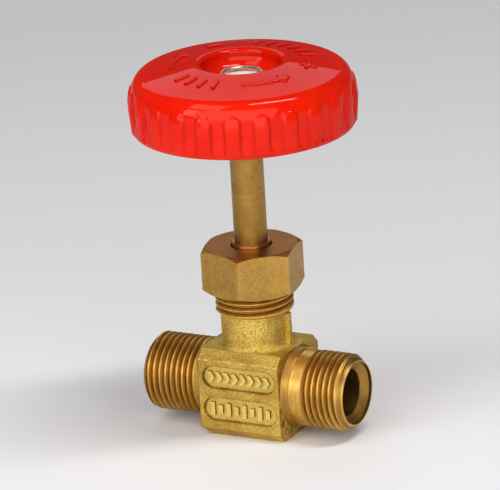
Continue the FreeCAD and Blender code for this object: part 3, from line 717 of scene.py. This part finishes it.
def wheel_marks(material):
    """Turning arrows, a plus, a minus and plain index bars raised on the dome."""
    marks = [
        turning_arrow("mark_open_arrow", *OPEN_ARROW, material),
        turning_arrow("mark_close_arrow", *CLOSE_ARROW, material),
        radial_bar("mark_plus_upright", PLUS_ANGLE, SIGN_REACH, SIGN_HALF_WIDTH, material),
        cross_bar("mark_plus_bar", PLUS_ANGLE, SIGN_REACH, SIGN_HALF_WIDTH, material),
        cross_bar("mark_minus_bar", MINUS_ANGLE, SIGN_REACH, SIGN_HALF_WIDTH, material),
    ]
    for k, angle in enumerate(INDEX_ANGLES):
        marks.append(radial_bar("mark_index_%02d" % k, angle, INDEX_REACH, INDEX_HALF_WIDTH, material))
    return marks


# ---------------------------------------------------------------- the object

FORGED = forged_brass()
ENAMEL = red_enamel()
PTFE = soft_material(
    "packing_ptfe", rgb(238, 238, 232), rgb(222, 221, 212), 350, 1800, (0.4, 0.52),
    Specular_IOR_Level=0.4, Subsurface_Weight=0.1,
)
RUBBER = soft_material(
    "wiper_rubber", rgb(24, 24, 25), rgb(40, 39, 38), 600, 3000, (0.5, 0.68), Specular_IOR_Level=0.35
)
STAINLESS = stainless()
SPINDLE_BRASS = turned_brass(
    "spindle_brass", rgb(178, 136, 68), rgb(146, 108, 50), rgb(106, 74, 33), (1.0, 1.0, 9.0), (0.34, 0.46)
)
FOLLOWER_BRASS = turned_brass(
    "follower_brass", rgb(226, 176, 104), rgb(196, 144, 78), rgb(150, 100, 52), (1.0, 1.0, 12.0)
)
ZINC_BRIGHT = zinc("screw_zinc", rgb(238, 234, 222), rgb(216, 210, 192))
ZINC_DULL = zinc("washer_zinc", rgb(206, 203, 184), rgb(176, 172, 150))

FINISHES = {
    "valve_body": FORGED,
    "spindle": SPINDLE_BRASS,
    "gland_nut": gland_brass(),
    "gland_follower": FOLLOWER_BRASS,
    "packing_base_washer": FOLLOWER_BRASS,
    "packing_bottom_adapter": PTFE,
    "packing_v_ring_1": PTFE,
    "packing_v_ring_2": PTFE,
    "packing_v_ring_3": PTFE,
    "packing_top_adapter": PTFE,
    "gland_slip_washer": PTFE,
    "wiper_o_ring": RUBBER,
    "needle": STAINLESS,
    "needle_retaining_pins": STAINLESS,
    "handwheel": ENAMEL,
    "handwheel_screw": ZINC_BRIGHT,
    "cup_washer": ZINC_DULL,
    "spring_washer": ZINC_DULL,
}

for name, node in NODES.items():
    node.data.materials.clear()
    node.data.materials.append(FINISHES[name])

wheel = handwheel(ENAMEL)
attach(wheel, WHEEL_BODY)
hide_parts("handwheel")
for mark in wheel_marks(ENAMEL):
    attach(mark, WHEEL_BODY)

# ---------------------------------------------------------------- camera

AZIMUTH = math.radians(28.9)
ELEVATION = math.radians(18.7)
ROLL = math.radians(3.35)
DISTANCE = 2.0
VIEW_WIDTH = 104.6 * MM
AIM_RIGHT = -1.95 * MM
AIM_UP = 28.45 * MM
SENSOR = 36.0


def toward(turn, height):
    """Direction from the valve, turn radians to the right of the camera and height radians up."""
    around = AZIMUTH + turn
    return Vector((
        math.sin(around) * math.cos(height),
        -math.cos(around) * math.cos(height),
        math.sin(height),
    ))


back = toward(0, ELEVATION)
level = Vector((math.cos(AZIMUTH), math.sin(AZIMUTH), 0))
upright = back.cross(level)
side = level * math.cos(ROLL) - upright * math.sin(ROLL)
over = level * math.sin(ROLL) + upright * math.cos(ROLL)
aim = Vector((0, 0, PORT_Z * MM)) + side * AIM_RIGHT + over * AIM_UP

camera_data = bpy.data.cameras.new("camera")
camera_data.sensor_width = SENSOR
camera_data.lens = SENSOR * DISTANCE / VIEW_WIDTH
camera_data.clip_end = 20
camera = bpy.data.objects.new("camera", camera_data)
bpy.context.scene.collection.objects.link(camera)
facing = Matrix((side, over, back)).transposed()
camera.matrix_world = Matrix.Translation(aim + back * DISTANCE) @ facing.to_4x4()
bpy.context.scene.camera = camera

# ---------------------------------------------------------------- floor, world and lights

# The floor's reach and fade are in millimetres, like its corners and its material's axes.
FLOOR_REACH = 3000
# The floor's painted light falloff fades from FLOOR_LIGHT in front to FLOOR_GREY further back.
FLOOR_FADE = (-60.0, 280.0)
FLOOR_LIGHT = (0.82, 0.82, 0.82, 1.0)
FLOOR_GREY = (0.64, 0.64, 0.64, 1.0)
WORLD_COLOUR = (0.9, 0.9, 0.92, 1.0)
WORLD_STRENGTH = 0.13
TARGET = Vector((0, 0, 45 * MM))

# Each light's name, its two ends as (turn, height) in degrees, its distance and width in metres, and watts.
LIGHTS = (
    ("softbox_left", (-72, 50), (-26, 54), 1.0, 0.5, 2.3),
    ("softbox_low", (-64, 20), (-50, 20), 1.2, 0.5, 2.2),
    ("strip_right", (12, 74), (80, 54), 1.0, 0.12, 4.6),
    ("front_fill", (-48, 14), (33, 14), 1.4, 0.9, 12.0),
    ("back_panel", (160, 34), (215, 34), 1.2, 0.55, 1.8),
)


def soft_light(name, start, end, distance, width, power):
    """Area light facing the valve. Its long side runs between two (turn, height) directions."""
    first = toward(*map(math.radians, start)) * distance
    last = toward(*map(math.radians, end)) * distance
    middle = (first + last) / 2
    outward = middle.normalized()
    long_side = (last - first).normalized()
    data = bpy.data.lights.new(name, "AREA")
    data.shape = "RECTANGLE"
    data.size = (last - first).length
    data.size_y = width
    data.energy = power
    lamp = bpy.data.objects.new(name, data)
    bpy.context.scene.collection.objects.link(lamp)
    axes = Matrix((long_side, outward.cross(long_side), outward)).transposed()
    lamp.matrix_world = Matrix.Translation(TARGET + middle) @ axes.to_4x4()


floor_corners = [(FLOOR_REACH * x, FLOOR_REACH * y, 0) for x, y in ((-1, -1), (1, -1), (1, 1), (-1, 1))]
forward = Vector((-math.sin(AZIMUTH), math.cos(AZIMUTH)))
floor = mesh_object("floor", floor_corners, [(0, 1, 2, 3)], pale_floor(forward), smooth=False)

world = bpy.data.worlds.new("studio")
world.use_nodes = True
background = world.node_tree.nodes["Background"]
background.inputs["Color"].default_value = WORLD_COLOUR
background.inputs["Strength"].default_value = WORLD_STRENGTH
bpy.context.scene.world = world
bpy.context.scene.view_settings.view_transform = "Standard"
bpy.context.scene.view_settings.look = "None"

for light in LIGHTS:
    soft_light(*light)
